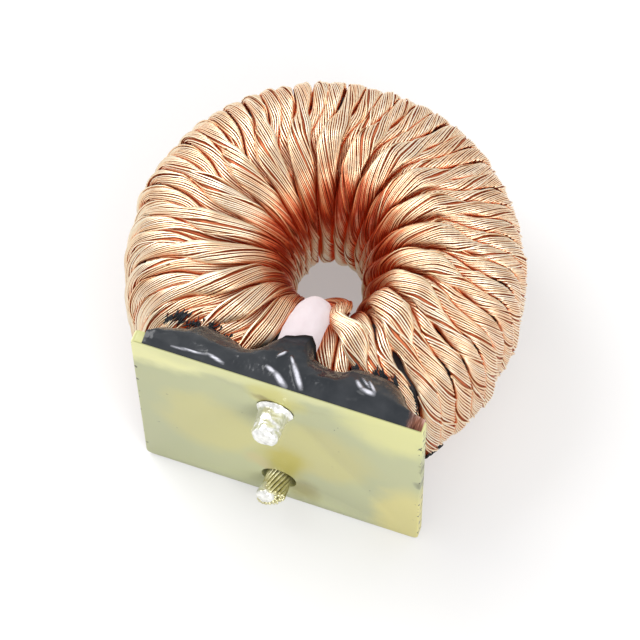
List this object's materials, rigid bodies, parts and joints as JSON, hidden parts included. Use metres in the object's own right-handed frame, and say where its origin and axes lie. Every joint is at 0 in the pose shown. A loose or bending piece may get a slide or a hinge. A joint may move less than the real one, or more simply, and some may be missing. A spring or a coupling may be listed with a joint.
{
  "type": "toroidal inductor",
  "caption": "Ring core wound with stranded copper, glued upright behind a flat insulating board that its two tinned leads pass through.",
  "frame": {"origin": "middle of the bounding box's bottom, below the ring's axis and between the lead tips and the far side of the winding", "axes": "+Z along the ring's axis with the core lying flat, -Y out of the board along the leads, +X to the right seen from the leads"},
  "size_m": [0.0532, 0.0566, 0.035],
  "materials": {
    "core": "epoxy coated powder core",
    "copper": "enamelled copper strands",
    "board": "translucent glass-epoxy laminate",
    "sleeve": "matt silicone sleeving",
    "solder": "lumpy bright solder",
    "lead_strands": "fluxed and tinned strands",
    "glue": "glossy black epoxy"
  },
  "bodies": {
    "root": {"core": "core", "bundle_1": "copper", "bundle_2": "copper", "bundle_3": "copper", "board": "board", "sleeve": "sleeve", "upper_lead": "solder", "lower_lead": "lead_strands", "glue": "glue"}
  },
  "joints": []
}
